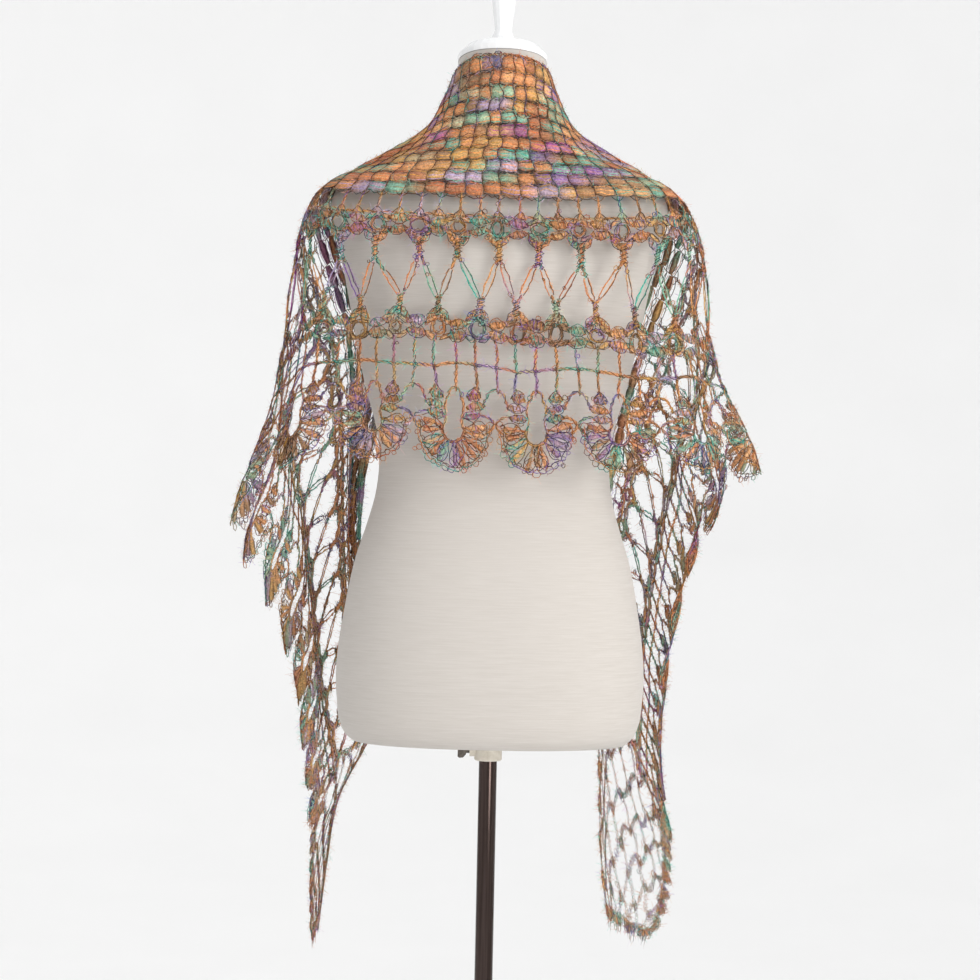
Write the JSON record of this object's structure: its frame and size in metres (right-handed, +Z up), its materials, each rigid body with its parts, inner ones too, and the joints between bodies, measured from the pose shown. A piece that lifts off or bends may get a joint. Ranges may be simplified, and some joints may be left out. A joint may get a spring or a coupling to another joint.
{
  "type": "lace shawl on dress form",
  "caption": "Crocheted open-work lace shawl with scalloped hem and two hanging tails, draped over a limbless dress form on a height-adjustable round stand.",
  "frame": {"origin": "centre of the round base's flat underside, on the floor under the pole", "axes": "+Z up along the pole, +Y the way the form faces (its front), +X to the wearer's right; the back of the shawl faces -Y"},
  "size_m": [0.5819, 0.36, 1.6416],
  "materials": {
    "mohair_lace": "space-dyed mohair yarn, fuzzy",
    "form_linen": "stretched ecru linen",
    "gloss_white": "gloss white",
    "collar_beige": "satin",
    "screw_dark": "satin",
    "pole_dark_chrome": "dark polished",
    "base_black": "black powder coat"
  },
  "bodies": {
    "stand": {"stand_base": "base_black", "stand_pole": "pole_dark_chrome"},
    "collar": {"pole_collar": "collar_beige"},
    "clamp_screw": {"clamp_screw": "screw_dark"},
    "form": {"form_torso": "form_linen", "neck_cap": "gloss_white", "neck_finial": "gloss_white", "yoke_left_front_low": "mohair_lace", "net_left_front_low": "mohair_lace", "border_left_front_low": "mohair_lace", "yoke_left_front_high": "mohair_lace", "net_left_front_high": "mohair_lace", "border_left_front_high": "mohair_lace", "yoke_left_side": "mohair_lace", "net_left_side": "mohair_lace", "border_left_side": "mohair_lace", "yoke_left_shoulder": "mohair_lace", "net_left_shoulder": "mohair_lace", "border_left_shoulder": "mohair_lace", "yoke_back": "mohair_lace", "net_back": "mohair_lace", "border_back": "mohair_lace", "yoke_right_shoulder": "mohair_lace", "net_right_shoulder": "mohair_lace", "border_right_shoulder": "mohair_lace", "yoke_right_side": "mohair_lace", "net_right_side": "mohair_lace", "border_right_side": "mohair_lace", "yoke_right_front_high": "mohair_lace", "net_right_front_high": "mohair_lace", "border_right_front_high": "mohair_lace", "yoke_right_front_low": "mohair_lace", "net_right_front_low": "mohair_lace", "border_right_front_low": "mohair_lace", "tail_left_yoke": "mohair_lace", "tail_left_net": "mohair_lace", "tail_left_border": "mohair_lace", "tail_right_yoke": "mohair_lace", "tail_right_net": "mohair_lace", "tail_right_border": "mohair_lace"}
  },
  "joints": [
    {"name": "height_slide", "type": "slide", "parent": "stand", "child": "collar", "axis": [0, 0, 1], "range_m": [-0.1, 0.1]},
    {"name": "form_turn", "type": "hinge", "parent": "collar", "child": "form", "pos_m": [0, 0, 0.8], "axis": [0, 0, 1], "continuous": true},
    {"name": "screw_turn", "type": "hinge", "parent": "collar", "child": "clamp_screw", "pos_m": [-0.02, 0, 0.7892], "axis": [-1, 0, 0], "range_deg": [0, 360]}
  ]
}
